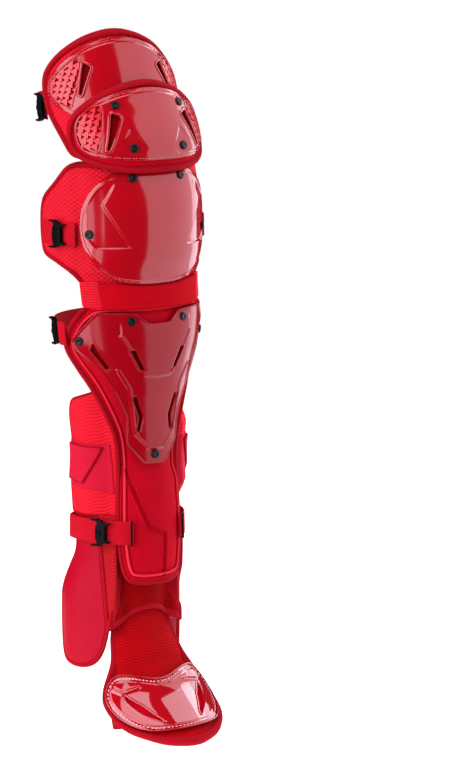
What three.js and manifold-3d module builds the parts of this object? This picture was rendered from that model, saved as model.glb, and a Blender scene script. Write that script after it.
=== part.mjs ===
// Catcher's leg guard for one leg: riveted hard caps on padded liners, from thigh to toe.
// Millimetres, +Z up, front towards -Y, outer side of the leg towards -X.
import * as THREE from 'three';
import Module from 'manifold-3d';

const wasm = await Module();
wasm.setup();

// Leg axis behind the resting face: the liner's inner face at mid shin lies at the origin.
const AXIS_Y = 39.5;
// Layers, as levels below the outer face of the caps.
const SHELL_THICK = 3;
const PAD_TOP = -4.8;
const PAD_BACK = -16;
const UPPER_PAD_BACK = -9.5;
const KNIT_THICK = 3;
const WEB_THICK = 2;
const WEB_HALF = 12.5;
const RIVET_RADIUS = 4.6;
const RIVET_HEIGHT = 2.2;
const SEAT = 0.3;
// The thigh cap is set round towards the outer side of the leg, in degrees.
const THIGH_TURN = -8;

const RED_SHELL = { color: 0xb90f1c, roughness: 0.16, metalness: 0 };
const RED_PAD = { color: 0xc2121f, roughness: 0.75, metalness: 0 };
const RED_KNIT = { color: 0xd01824, roughness: 0.85, metalness: 0 };
const RED_WEB = { color: 0xc4101d, roughness: 0.7, metalness: 0 };
const RED_FLAP = { color: 0xb01222, roughness: 0.5, metalness: 0 };
const BLACK = { color: 0x17181b, roughness: 0.35, metalness: 0 };

function table(columns, rows) {
  const names = columns.split(' ');
  return rows.map((row) => Object.fromEntries(names.map((name, i) => [name, row[i]])));
}

// Sections of the outer face: station s, half width a, half depth b, front y, height z and
// forward tilt in degrees. On the leg the station is the height.
const leg = (rows) => table('s a b y z tilt', rows.map(([z, a, b, y]) => [z, a, b, y, z, 0]));
const FORMS = {
  thigh: leg([
    [252, 78, 72, -55.5],
    [270, 78, 72, -51.5],
    [300, 78, 72, -40],
    [343, 78, 72, -24],
    [370, 77, 70, -14],
    [400, 76, 68, -2],
  ]),
  upper: leg([
    [245, 86, 78, -68],
    [262, 87, 80, -70],
    [280, 87, 80, -66],
    [300, 87, 80, -57],
    [323, 85, 78, -45],
    [350, 81, 76, -36],
  ]),
  knee: leg([
    [105, 86, 66, -62],
    [133, 85, 66, -61],
    [160, 86, 73, -68],
    [190, 86, 76, -70],
    [225, 86, 74, -67],
    [258, 84, 66, -55],
  ]),
  shin: leg([
    [-285, 59, 64, -59],
    [-200, 59, 64, -59],
    [-130, 59, 64, -59],
    [-90, 58, 61, -56],
    [-50, 58, 58.5, -53],
    [0, 66, 61, -55.5],
    [40, 74, 66, -61],
    [70, 82, 68, -63.5],
    [116, 86, 66, -62],
  ]),
  foot: table('s a b y z tilt', [
    [0, 40, 36, -32.5, -205, 3],
    [36, 50, 36, -43, -241, 10],
    [70, 60, 34, -58.5, -271.5, 32],
    [96, 70, 38, -75, -291.5, 44],
    [126, 74, 42, -100, -309.5, 54],
    [160, 68, 40, -128, -327, 58],
    [182, 64, 38, -146, -338.5, 58],
  ]),
};
const GIRTH = { thigh: 75, upper: 82, knee: 80, shin: 64, foot: 62 };

const radians = (degrees) => degrees * Math.PI / 180;
const mix = (from, to, t) => from + (to - from) * t;

function ramp(from, to, x) {
  const t = Math.min(Math.max((x - from) / (to - from), 0), 1);
  return t * t * (3 - 2 * t);
}

// One column of a form at a station, on a smooth curve through its rows.
function column(rows, key, s) {
  let i = 0;
  while (i < rows.length - 2 && s > rows[i + 1].s) i++;
  const [p, q] = [rows[i], rows[i + 1]];
  const before = rows[Math.max(i - 1, 0)];
  const after = rows[Math.min(i + 2, rows.length - 1)];
  const span = q.s - p.s;
  const t = Math.min(Math.max((s - p.s) / span, 0), 1);
  const rise = (q[key] - before[key]) / (q.s - before.s) * span;
  const fall = (after[key] - p[key]) / (after.s - p.s) * span;
  return (2 * t ** 3 - 3 * t ** 2 + 1) * p[key] + (t ** 3 - 2 * t ** 2 + t) * rise
    + (3 * t ** 2 - 2 * t ** 3) * q[key] + (t ** 3 - t ** 2) * fall;
}

// The point at angle u from the front and station s, raised by level off the caps' outer face.
function place(form, u, s, level = 0) {
  const rows = FORMS[form];
  const [a, b, y, z, tilt] = ['a', 'b', 'y', 'z', 'tilt'].map((key) => column(rows, key, s));
  const angle = radians(u);
  const reach = (b + level) * Math.cos(angle) - b;
  return new THREE.Vector3(
    (a + level) * Math.sin(angle),
    y + AXIS_Y - Math.cos(radians(tilt)) * reach,
    z + Math.sin(radians(tilt)) * reach,
  );
}

// Corners without a rounding of their own take the smooth one, and longer edges are divided.
const SMOOTH = 100;
const LONG_EDGE = 27;

// A closed outline laid flat in mm: corners of angle u, station s and rounding r.
// A half outline runs from the top middle to the bottom middle and is mirrored.
function outline(form, corners, { half = false, side = 1 } = {}) {
  const scale = radians(1) * GIRTH[form];
  let points = table('u s r', corners).map(({ u, s, r = SMOOTH }) => ({ x: side * u * scale, y: s, r }));
  if (half) {
    const mirrored = points.slice(1, -1).reverse().map((point) => ({ ...point, x: -point.x }));
    points = points.concat(mirrored);
  }
  const area = points.reduce((sum, p, i) => {
    const q = points[(i + 1) % points.length];
    return sum + p.x * q.y - q.x * p.y;
  }, 0);
  if (area < 0) points.reverse();
  const loop = [];
  const add = (x, y) => {
    const last = loop[loop.length - 1];
    if (!last || Math.hypot(x - last.x, y - last.y) > 0.5) loop.push({ x, y });
  };
  points.forEach((corner, i) => {
    const ends = [points[(i + points.length - 1) % points.length], points[(i + 1) % points.length]];
    const [before, after] = ends.map((end) => {
      const length = Math.hypot(end.x - corner.x, end.y - corner.y);
      const t = Math.min(corner.r / length, 0.5);
      return { x: mix(corner.x, end.x, t), y: mix(corner.y, end.y, t), length };
    });
    if (corner.r < 2) {
      add(corner.x, corner.y);
    } else if (corner.r < SMOOTH) {
      add(before.x, before.y);
      add(after.x, after.y);
    } else {
      if (before.length > LONG_EDGE) add(before.x, before.y);
      add((before.x + after.x) / 4 + corner.x / 2, (before.y + after.y) / 4 + corner.y / 2);
    }
  });
  return loop.flatMap((p, i) => {
    const q = loop[(i + 1) % loop.length];
    const parts = Math.ceil(Math.hypot(q.x - p.x, q.y - p.y) / LONG_EDGE);
    return Array.from({ length: parts }, (_, k) => ({ x: mix(p.x, q.x, k / parts), y: mix(p.y, q.y, k / parts) }));
  });
}

function insetLoop(loop, distance) {
  return loop.map((p, i) => {
    const before = loop[(i + loop.length - 1) % loop.length];
    const after = loop[(i + 1) % loop.length];
    const along = new THREE.Vector2(p.x - before.x, p.y - before.y).normalize();
    const next = new THREE.Vector2(after.x - p.x, after.y - p.y).normalize();
    const inward = new THREE.Vector2(-along.y - next.y, along.x + next.x).normalize();
    const miter = Math.min(1 / Math.max(inward.dot(new THREE.Vector2(-along.y, along.x)), 0.5), 1.6);
    return { x: p.x + inward.x * distance * miter, y: p.y + inward.y * distance * miter };
  });
}

// Whether a form's stations run downwards, which turns its faces over.
function falls(form) {
  return FORMS[form][0].z > FORMS[form][1].z;
}

function meshFrom(points, triangles) {
  const geometry = new THREE.BufferGeometry();
  geometry.setAttribute('position', new THREE.Float32BufferAttribute(points.flatMap((p) => p.toArray()), 3));
  geometry.setIndex(triangles);
  return geometry;
}

// A closed wall over a form, from the rings of its outer face and of its back. Each ring is set in
// from the outline by inset, then drawn towards the centre by share, at a level that is a number
// or a function of u and s.
function panel(form, loop, faces, centre = [0, null], turn = 0) {
  const scale = radians(1) * GIRTH[form];
  const height = (Math.max(...loop.map((p) => p.y)) + Math.min(...loop.map((p) => p.y))) / 2;
  const middle = { x: centre[0] * scale, y: centre[1] ?? height };
  const count = loop.length;
  const points = [];
  const triangles = [];
  const put = (x, y, level) => {
    const u = x / scale;
    points.push(place(form, u + turn, y, typeof level === 'function' ? level(u, y) : level));
  };
  const starts = faces.map((rings, face) => {
    const start = points.length;
    for (const ring of rings) {
      for (const p of insetLoop(loop, ring.inset)) {
        put(mix(p.x, middle.x, ring.share), mix(p.y, middle.y, ring.share), ring.level);
      }
    }
    put(middle.x, middle.y, rings[rings.length - 1].level);
    const turned = face === 0 ? (a, b, c) => triangles.push(a, b, c) : (a, b, c) => triangles.push(a, c, b);
    for (let i = 0; i < count; i++) {
      const j = (i + 1) % count;
      for (let k = start; k < points.length - 1 - count; k += count) {
        turned(k + i, k + j, k + count + j);
        turned(k + i, k + count + j, k + count + i);
      }
      turned(points.length - 1 - count + i, points.length - 1 - count + j, points.length - 1);
    }
    return start;
  });
  for (let i = 0; i < count; i++) {
    const j = (i + 1) % count;
    const [out, back] = starts;
    triangles.push(out + i, back + i, back + j, out + i, back + j, out + j);
  }
  const geometry = meshFrom(points, triangles);
  return falls(form) ? flipped(geometry) : geometry;
}

const rings = (rows) => table('inset share level', rows);

// Faces of a plain wall.
function plain(out, back, shares = [0.25, 0.5, 0.75], backShares = shares) {
  return [
    rings([[0, 0, out], ...shares.map((share) => [0, share, out])]),
    rings([[0, 0, back], ...backShares.map((share) => [0, share, back])]),
  ];
}

// Faces of a padded piece: rounded edge, rolled lip and the flat pad inside it.
function padded(lip, flat, back, shares = [0.25, 0.5, 0.75], backShares = [0.5]) {
  const [lipAt, backAt] = [lip, back].map((level) => (typeof level === 'function' ? level : () => level));
  const middle = (u, s) => (lipAt(u, s) + backAt(u, s)) / 2;
  return [
    rings([
      [0, 0, (u, s) => middle(u, s) + 1.5],
      [2.2, 0, (u, s) => lipAt(u, s) - 0.8],
      [4.5, 0, lip],
      [8.3, 0, flat],
      ...shares.map((share) => [8.3, share, flat]),
    ]),
    rings([
      [0, 0, (u, s) => middle(u, s) - 1.5],
      [3.5, 0, back],
      ...backShares.map((share) => [3.5, share, back]),
    ]),
  ];
}

// A band of webbing over a form, from angle u0 to u1, which may run on round the back.
function webbing(form, u0, u1, s, level, steps, { half = WEB_HALF, thick = WEB_THICK } = {}) {
  const points = [];
  for (let i = 0; i <= steps; i++) {
    const u = mix(u0, u1, i / steps);
    const low = typeof level === 'function' ? level(u) : level;
    const station = typeof s === 'function' ? s(u) : s;
    points.push(place(form, u, station - half, low), place(form, u, station + half, low));
    points.push(place(form, u, station + half, low + thick), place(form, u, station - half, low + thick));
  }
  return bandFrom(points, steps);
}

// A closed band through sections of four points each.
function bandFrom(points, steps) {
  const triangles = [];
  for (let i = 0; i < steps; i++) {
    for (let k = 0; k < 4; k++) {
      const [a, b] = [4 * i + k, 4 * i + (k + 1) % 4];
      triangles.push(a, b, b + 4, a, b + 4, a + 4);
    }
  }
  const end = 4 * steps;
  triangles.push(0, 3, 2, 0, 2, 1, end, end + 1, end + 2, end, end + 2, end + 3);
  return meshFrom(points, triangles);
}

function flipped(geometry) {
  const index = Array.from(geometry.index.array);
  for (let i = 0; i < index.length; i += 3) [index[i + 1], index[i + 2]] = [index[i + 2], index[i + 1]];
  geometry.setIndex(index);
  return geometry;
}

function solid(geometry) {
  return new wasm.Manifold(new wasm.Mesh({
    numProp: 3,
    vertProperties: Float32Array.from(geometry.attributes.position.array),
    triVerts: Uint32Array.from(geometry.index.array),
  }));
}

function geometryOf(manifold) {
  const mesh = manifold.getMesh();
  const geometry = new THREE.BufferGeometry();
  geometry.setAttribute('position', new THREE.BufferAttribute(Float32Array.from(mesh.vertProperties), 3));
  geometry.setIndex(Array.from(mesh.triVerts));
  return geometry;
}

// A wall with slots cut through it: each slot is an outline in u and s, cut on both sides.
function slotted(geometry, form, slots, turn = 0) {
  let body = solid(geometry);
  for (const corners of slots) {
    for (const side of [1, -1]) {
      const loop = outline(form, corners.map(([u, s]) => [u, s, 0]), { side });
      const us = corners.map(([u]) => u);
      const middle = side * (Math.min(...us) + Math.max(...us)) / 2;
      body = body.subtract(solid(panel(form, loop, plain(6, -9, [], []), [middle, null], turn)));
    }
  }
  return geometryOf(body);
}

// The lowest seat for a disc on a mesh, clear of every facet under it, and the form's normal there.
function seatOn(mesh, form, u, s, radius) {
  const step = 0.5;
  const across = place(form, u + step, s).sub(place(form, u - step, s)).normalize();
  const along = place(form, u, s + step).sub(place(form, u, s - step)).normalize();
  const normal = across.clone().cross(along).normalize();
  const start = place(form, u, s).addScaledVector(normal, 20);
  const heights = [];
  for (const share of [0, 0.5, 1]) {
    for (let angle = 0; angle < 2 * Math.PI; angle += Math.PI / 6) {
      const from = start.clone()
        .addScaledVector(across, share * radius * Math.cos(angle))
        .addScaledVector(along, share * radius * Math.sin(angle));
      const hit = new THREE.Raycaster(from, normal.clone().negate()).intersectObject(mesh)[0];
      if (hit) heights.push(20 - hit.distance);
    }
  }
  return { point: place(form, u, s).addScaledVector(normal, Math.max(...heights)), normal };
}

function rivet(mesh, form, u, s) {
  const { point, normal } = seatOn(mesh, form, u, s, RIVET_RADIUS);
  const sides = 10;
  const profile = table('radius height', [
    [RIVET_RADIUS, 0],
    [RIVET_RADIUS, RIVET_HEIGHT * 0.5],
    [RIVET_RADIUS * 0.72, RIVET_HEIGHT],
  ]);
  const points = [new THREE.Vector3(0, 0, 0)];
  for (const { radius, height } of profile) {
    for (let i = 0; i < sides; i++) {
      const angle = 2 * Math.PI * i / sides;
      points.push(new THREE.Vector3(radius * Math.cos(angle), radius * Math.sin(angle), height));
    }
  }
  points.push(new THREE.Vector3(0, 0, RIVET_HEIGHT));
  const triangles = [];
  const top = points.length - 1;
  for (let i = 0; i < sides; i++) {
    const j = (i + 1) % sides;
    triangles.push(0, 1 + j, 1 + i);
    for (const k of [0, sides]) {
      triangles.push(1 + k + i, 1 + k + j, 1 + k + sides + j, 1 + k + i, 1 + k + sides + j, 1 + k + sides + i);
    }
    triangles.push(1 + 2 * sides + i, 1 + 2 * sides + j, top);
  }
  const geometry = meshFrom(points, triangles);
  geometry.applyQuaternion(new THREE.Quaternion().setFromUnitVectors(new THREE.Vector3(0, 0, 1), normal));
  geometry.translate(...point.addScaledVector(normal, SEAT).toArray());
  return geometry;
}

// Blocks joined into one piece, laid on a form in a local frame of across, up and out.
const CLIP = table('x y z w h d', [
  [0, 0, 2.5, 14, 22, 5],
  [-9, 0, 2, 6, 30, 4],
  [9, 0, 2, 6, 30, 4],
]);
const BAR = table('x y z w h d', [[0, 0, 1.4, 5, 29, 2.8]]);

function fitting(form, u, s, level, blocks) {
  let body = null;
  for (const { x, y, z, w, h, d } of blocks) {
    const block = wasm.Manifold.cube([w, h, d], true).translate([x, y, z]);
    body = body ? body.add(block) : block;
  }
  const geometry = geometryOf(body);
  const step = 0.5;
  const across = place(form, u + step, s).sub(place(form, u - step, s)).normalize();
  const up = place(form, u, s + step).sub(place(form, u, s - step)).normalize();
  const out = across.clone().cross(up).normalize();
  geometry.applyMatrix4(new THREE.Matrix4().makeBasis(across, out.clone().cross(across), out));
  geometry.translate(...place(form, u, s, level).toArray());
  return geometry;
}

// A strap hung as a loop behind the foot liner, from its outer to its inner edge.
function footStrap() {
  const steps = 20;
  const points = [];
  const base = new THREE.Vector3(0, AXIS_Y - 60, -322.4);
  const slope = radians(16);
  const back = new THREE.Vector3(0, Math.cos(slope), -Math.sin(slope));
  const across = new THREE.Vector3(0, Math.sin(slope), Math.cos(slope));
  const corner = (angle, grow, edge) => base.clone()
    .addScaledVector(new THREE.Vector3(1, 0, 0), (50 + grow) * Math.sin(angle))
    .addScaledVector(back, (50 + grow) * Math.cos(angle))
    .addScaledVector(across, edge);
  for (let i = 0; i <= steps; i++) {
    const angle = mix(Math.PI / 2, -Math.PI / 2, i / steps);
    points.push(corner(angle, 0, -WEB_HALF), corner(angle, 0, WEB_HALF));
    points.push(corner(angle, WEB_THICK, WEB_HALF), corner(angle, WEB_THICK, -WEB_HALF));
  }
  return bandFrom(points, steps);
}

const guard = new THREE.Group();
guard.name = 'catcher_leg_guard';

function add(name, geometry, look) {
  geometry.computeVertexNormals();
  const mesh = new THREE.Mesh(geometry, new THREE.MeshStandardMaterial(look));
  mesh.name = name;
  guard.add(mesh);
  mesh.updateMatrixWorld();
  return mesh;
}

const SIDES = table('name side', [['outer', -1], ['inner', 1]]);

// Thigh: padded liner and its slotted cap.
const thighPadEdge = outline('thigh', [
  [0, 392], [30, 381], [54, 357], [66, 345], [74, 337], [80, 322], [80, 303], [72, 284],
  [62, 259.4, 10], [40, 257.1, 10], [0, 257.1],
], { half: true });
const upperOverThigh = (u, s) => mix(PAD_TOP, PAD_TOP - 1, ramp(300, 270, s));
add('thigh_pad', panel('thigh', thighPadEdge, padded(-1, upperOverThigh, PAD_BACK), [0, 320], THIGH_TURN), RED_PAD);
const thighShellEdge = outline('thigh', [
  [0, 382], [29, 371], [49, 349], [59, 339], [66, 327], [63, 314], [48, 304], [38, 290, 12],
  [30, 268, 10], [0, 267],
], { half: true });
const THIGH_SLOTS = [[[30, 352], [33, 354], [42, 324], [38, 325]]];
const thighShell = panel('thigh', thighShellEdge, plain(0, -SHELL_THICK), [0, 325], THIGH_TURN);
add('thigh_shell', slotted(thighShell, 'thigh', THIGH_SLOTS, THIGH_TURN), RED_SHELL);

// Cap above the knee, which laps over the thigh and knee caps.
const upperPadEdge = outline('upper', [
  [0, 341.5], [28, 333], [53, 313], [63, 299], [67, 285], [65, 269], [55, 257.5], [37, 248], [19, 245.5], [0, 246],
], { half: true });
const upperBack = (u, s) => mix(UPPER_PAD_BACK, UPPER_PAD_BACK + 1.5, ramp(270, 258, s));
add('upper_pad', panel('upper', upperPadEdge, padded(0, PAD_TOP, upperBack), [0, 292]), RED_PAD);
const upperShellEdge = outline('upper', [
  [0, 332], [21, 327.5], [39, 315.5], [52.5, 299], [57, 285], [55, 273], [45, 265], [25, 261], [0, 261],
], { half: true });
const UPPER_SLOTS = [[[26, 303], [29.5, 306], [40, 270], [36, 270]]];
const upperShell = add(
  'upper_shell',
  slotted(panel('upper', upperShellEdge, plain(0, -SHELL_THICK), [0, 294]), 'upper', UPPER_SLOTS),
  RED_SHELL,
);

// Knee: winged liner, domed cap.
const kneePadEdge = outline('knee', [
  [0, 256], [45, 256.5, 20], [70, 257, 12], [86, 239], [104, 220], [113, 200], [113, 175], [106, 158],
  [84, 149], [68, 140], [58, 119, 6], [30, 117.5, 10], [0, 117.5],
], { half: true });
const kneeFlat = (u, s) => mix(PAD_TOP - 1.2 * ramp(146, 134, s), -1, ramp(66, 76, Math.abs(u)));
const kneeLip = (u) => mix(PAD_TOP - 1.2, -0.6, ramp(58, 72, Math.abs(u)));
add('knee_pad', panel('knee', kneePadEdge, padded(kneeLip, kneeFlat, PAD_BACK), [0, 190]), RED_PAD);
const kneeShellEdge = outline('knee', [
  [0, 250.5], [22, 250], [41, 243], [57, 223], [64, 197], [61.5, 173], [49, 150], [34, 135], [17, 131], [0, 130.5],
], { half: true });
const kneeShell = add('knee_shell', panel('knee', kneeShellEdge, plain(0, -SHELL_THICK), [0, 192]), RED_SHELL);

// Bare band and ribbed gussets that join knee and shin.
const bandEdge = outline('knee', [
  [0, 129, 10], [17, 129.5, 8], [33, 132.5, 8], [46, 134, 3], [42, 105.5, 3], [18, 104.8, 6], [0, 104.8, 10],
], { half: true });
add('knee_band', panel('knee', bandEdge, plain(-0.2, -3.7, [0.5], [0.5]), [0, 118]), RED_PAD);
for (const { name, side } of SIDES) {
  const edge = outline('knee', [
    [47.5, 134, 3], [59, 132, 3], [55, 110, 3], [44, 106.5, 3],
  ], { side });
  add(`gusset_${name}`, panel('knee', edge, plain(-2.4, -4.9, [0.5]), [side * 51, 120]), RED_KNIT);
}

// Shin: long liner, slotted plate.
const shinPadEdge = outline('shin', [
  [0, 115.5, 10], [50, 115.5, 16], [66, 104, 14], [82, 80], [86.5, 62], [76, 40], [63.5, 21], [49, -15],
  [43.5, -34], [44, -75], [46, -118], [43, -162], [36, -184], [19, -188], [0, -188],
], { half: true });
const shinFlat = (u, s) => mix(PAD_TOP, -0.5, ramp(-64, -84, s)) - 1.2 * ramp(94, 104, s);
const shinLip = (u, s) => mix(-1, PAD_TOP - 1.2, ramp(64, 56, Math.abs(u)) * ramp(60, 85, s));
add('shin_pad', panel('shin', shinPadEdge, padded(shinLip, shinFlat, PAD_BACK, [0.2, 0.4, 0.6, 0.8], [0.4, 0.7]), [0, -30]), RED_PAD);
const shinShellEdge = outline('shin', [
  [0, 90.5, 4], [9, 90.5, 3], [18, 102, 3], [48, 103.5, 4], [73.5, 71.5, 3], [70, 63, 3], [49, 41, 6],
  [39, 19, 8], [33, 1.5, 8], [29.5, -8, 3], [31, -37, 3], [13.5, -59, 3], [0, -59, 6],
], { half: true });
const SHIN_SLOTS = [
  [[52, 69], [54, 66], [44, 47], [42, 46]],
  [[21, 62], [24, 62], [16.5, 43], [14, 43]],
  [[20, 13], [22.5, 12], [16.5, -9], [19, -23], [17, -23], [14, -9]],
];
const shinShell = add(
  'shin_shell',
  slotted(panel('shin', shinShellEdge, plain(0, -SHELL_THICK), [0, 35]), 'shin', SHIN_SLOTS),
  RED_SHELL,
);

// Rivets: cap that carries them, angle, station and label; those off the middle come in pairs.
const RIVETS = table('shell form u s label', [
  [upperShell, 'upper', 27, 314.5, 'upper_top'],
  [upperShell, 'upper', 20.5, 272, 'upper_low'],
  [kneeShell, 'knee', 20, 241, 'knee_top'],
  [kneeShell, 'knee', 54.5, 184, 'knee_side'],
  [shinShell, 'shin', 22, 93.5, 'shin_top'],
  [shinShell, 'shin', 64.5, 72.5, 'shin_side'],
  [shinShell, 'shin', 0, -49, 'shin_low'],
]);
for (const { shell, form, u, s, label } of RIVETS) {
  for (const { name, side } of SIDES) {
    if (u !== 0) add(`rivet_${label}_${name}`, rivet(shell, form, side * u, s), BLACK);
  }
  if (u === 0) add(`rivet_${label}`, rivet(shell, form, 0, s), BLACK);
}

// Calf and ankle: knit wings with their patches, ribbed strips and smooth ankle flaps.
const calfLevel = (u) => mix(-9, 0, ramp(52, 84, Math.abs(u)));
const flare = (u, s) => -3 + 12 * ramp(-150, -205, s) * ramp(58, 104, Math.abs(u));
const lower = (level, drop) => (u, s) => level(u, s) - drop;
for (const { name, side } of SIDES) {
  const wing = outline('shin', [
    [65.5, 19.5, 5], [90, 8, 8], [100, -12], [102, -36], [109, -62], [111, -84, 10], [106, -100], [102, -113, 5],
    [46.9, -113, 3], [45.1, -75], [44.6, -33], [50.1, -15],
  ], { side });
  add(
    `calf_wing_${name}`,
    panel('shin', wing, plain(calfLevel, lower(calfLevel, KNIT_THICK), [0.33, 0.66], [0.5]), [side * 76, -48]),
    RED_KNIT,
  );
  const patch = outline('shin', [[101.5, -40, 2], [58, -42, 1], [81, -82, 1], [107, -80, 2]], { side });
  add(
    `calf_patch_${name}`,
    panel('shin', patch, plain(lower(calfLevel, -3.4), lower(calfLevel, -2.1), [0.5]), [side * 86, -60]),
    RED_PAD,
  );
  const strip = outline('shin', [
    [46.7, -116, 2], [63.5, -116, 2], [59, -150, 20], [52.5, -229, 4], [48.2, -229, 1], [47.6, -205, 8], [45.8, -180, 8],
  ], { side });
  add(`ankle_strip_${name}`, panel('shin', strip, plain(-4.5, -4.5 - KNIT_THICK, [0.5]), [side * 53.5, -170]), RED_KNIT);
  const flap = outline('shin', [
    [64.5, -116, 2], [101, -116, 4], [99.5, -152, 30], [109, -176, 20], [113, -210], [113, -248], [108, -272],
    [92, -280], [76, -279], [65, -271], [58, -257], [53.2, -238], [53.3, -228], [59.8, -150],
  ], { side });
  add(
    `ankle_flap_${name}`,
    panel('shin', flap, plain(flare, lower(flare, 4), [0.33, 0.66], [0.5]), [side * 84, -210]),
    RED_FLAP,
  );
}
const archEdge = outline('shin', [
  [0, -150, 10], [38, -150, 10], [43.5, -180, 20], [47.4, -227, 3], [44, -226, 8], [33, -217], [17.5, -209.5], [0, -208.5],
], { half: true });
const archLevel = (u, s) => -17.8 + 11.8 * ramp(34, 46, Math.abs(u)) * ramp(-192, -216, s);
add('ankle_panel', panel('shin', archEdge, plain(archLevel, lower(archLevel, KNIT_THICK)), [0, -182]), RED_PAD);

// Foot: padded tongue that spreads to the toe, slotted toe cap.
const footPadEdge = outline('foot', [
  [0, 2, 10], [44, 2, 6], [54, 36], [54, 56], [61, 66], [72, 77], [75, 89], [67, 108], [54, 135], [39, 157],
  [25, 169], [0, 178],
], { half: true });
const tongueLevel = (u, s) => mix(-0.5, PAD_TOP, ramp(56, 69, s));
add('foot_pad', panel('foot', footPadEdge, padded(-0.5, tongueLevel, -11), [0, 110]), RED_PAD);
const toeShellEdge = outline('foot', [
  [0, 87, 8], [8, 86, 6], [23, 79, 8], [40, 73.5], [52, 73], [62, 80], [65, 91], [53, 116], [39, 140],
  [25, 151], [0, 156],
], { half: true });
const TOE_SLOTS = [[[40, 96], [40, 100], [31, 122], [19, 140], [20, 134], [29, 112]]];
const toeShell = panel('foot', toeShellEdge, plain(0, -SHELL_THICK), [0, 115]);
add('toe_shell', slotted(toeShell, 'foot', TOE_SLOTS), RED_SHELL);

// Straps run round the back as whole loops. Each has its form, start and end angle, station, level
// and steps; the clips join them on the outer side.
const STRAPS = table('name form from to s level steps', [
  ['thigh_strap', 'thigh', 66, 264, 308, -0.3, 22],
  ['knee_strap', 'knee', 64.5, 276, 183, 0.2, 26],
  ['knee_tab', 'knee', -76, -65, 183, 0.2, 2],
  ['calf_strap', 'shin', 76, 283, 79, -0.2, 24],
  ['lower_strap', 'shin', 31, 298, -130, 0.6, 30],
  ['lower_tab', 'shin', -54, -27, -130, 0.6, 4],
]);
for (const { name, form, from, to, s, level, steps } of STRAPS) {
  add(name, webbing(form, from, to, s, level, steps), RED_WEB);
}
add('foot_strap', footStrap(), RED_WEB);
const FITTINGS = table('name form u s level blocks', [
  ['thigh_clip', 'thigh', -98, 308, 2.4, CLIP],
  ['knee_clip', 'knee', -80, 183, 2.9, CLIP],
  ['calf_clip', 'shin', -98, 79, 1.9, CLIP],
  ['lower_clip', 'shin', -58, -130, 3.2, CLIP],
  ['lower_bar_outer', 'shin', -29, -130, 3, BAR],
  ['lower_bar_inner', 'shin', 34, -130, 3, BAR],
]);
for (const { name, form, u, s, level, blocks } of FITTINGS) {
  add(name, fitting(form, u, s, level, blocks), BLACK);
}

export default guard;
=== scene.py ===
"""One catcher's leg guard for a right leg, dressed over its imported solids, in metres."""
import math

import bmesh
import bpy
import numpy as np
from mathutils import Matrix, Vector


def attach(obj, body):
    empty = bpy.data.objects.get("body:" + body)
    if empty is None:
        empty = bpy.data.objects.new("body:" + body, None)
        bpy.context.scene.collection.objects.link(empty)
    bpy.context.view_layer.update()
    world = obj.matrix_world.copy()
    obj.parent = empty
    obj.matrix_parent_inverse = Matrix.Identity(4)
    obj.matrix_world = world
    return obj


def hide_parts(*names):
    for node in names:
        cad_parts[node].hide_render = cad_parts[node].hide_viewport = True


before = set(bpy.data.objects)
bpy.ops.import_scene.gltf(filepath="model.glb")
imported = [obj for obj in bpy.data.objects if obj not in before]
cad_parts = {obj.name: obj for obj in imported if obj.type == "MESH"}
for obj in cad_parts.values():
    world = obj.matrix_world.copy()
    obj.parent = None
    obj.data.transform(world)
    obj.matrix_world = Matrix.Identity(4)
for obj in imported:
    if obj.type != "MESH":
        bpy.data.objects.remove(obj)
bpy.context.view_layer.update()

# Studio. A long lens stands well back, a little above the guard and on its outer side, over a pale
# floor. A tall key softbox on the inner side gives the caps their broad reflection, with smaller ones
# for their outer side, its soft edge, the tops, the toe cap and the inner rims.
MM = 0.001
AXIS_Y = 39.5
AZIMUTH, RISE = -35, 10
DISTANCE = 3500
PIXEL = 1.05
FRAME_WIDE, FRAME_TALL = 475, 776
SHIN_PIXEL = (127, 400)
FLOOR_Z = -0.372
FLOOR_HALF_WIDE, FLOOR_HALF_LONG = 0.45, 1.2
FLOOR_BEHIND = 1.0
SKY_CAMERA, SKY_GLOSSY, SKY_DIFFUSE = 1.0, 0.04, 0.14
SOFTBOX_TINT = (1.0, 0.95, 1.06)
# Name, azimuth and rise in degrees, distance, width and height in metres, and watts.
SOFTBOXES = [
    ("key_softbox", 50, 5, 1.6, 2.5, 4.0, 53),
    ("side_softbox", -87, 12, 1.8, 1.7, 2.2, 54),
    ("side_fade", -54, 8, 1.8, 0.4, 2.2, 6),
    ("top_light", -65, 79, 2.2, 1.45, 1.45, 20),
    ("toe_strip", 98, 49, 2.2, 0.48, 1.5, 6),
    ("rim_softbox", 97, 10, 1.8, 0.6, 2.2, 14),
]


def toward(azimuth, rise):
    """The way to an azimuth and height in degrees, seen from the guard."""
    a, e = math.radians(azimuth), math.radians(rise)
    return Vector((math.sin(a) * math.cos(e), -math.cos(a) * math.cos(e), math.sin(e)))


def show(name, data):
    """Data as an object of the scene."""
    piece = bpy.data.objects.new(name, data)
    bpy.context.collection.objects.link(piece)
    return piece


def mesh_of(name, bm, smooth=True):
    """A built mesh as an object of the scene."""
    for face in bm.faces:
        face.smooth = smooth
    mesh = bpy.data.meshes.new(name)
    bm.to_mesh(mesh)
    bm.free()
    return show(name, mesh)


def fresh(made, kind):
    """A new node for a material or the world."""
    return made.node_tree.nodes.new(f"ShaderNode{kind}")


def link(made, output, socket):
    """Links a node's output to a socket."""
    made.node_tree.links.new(output, socket)


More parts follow.
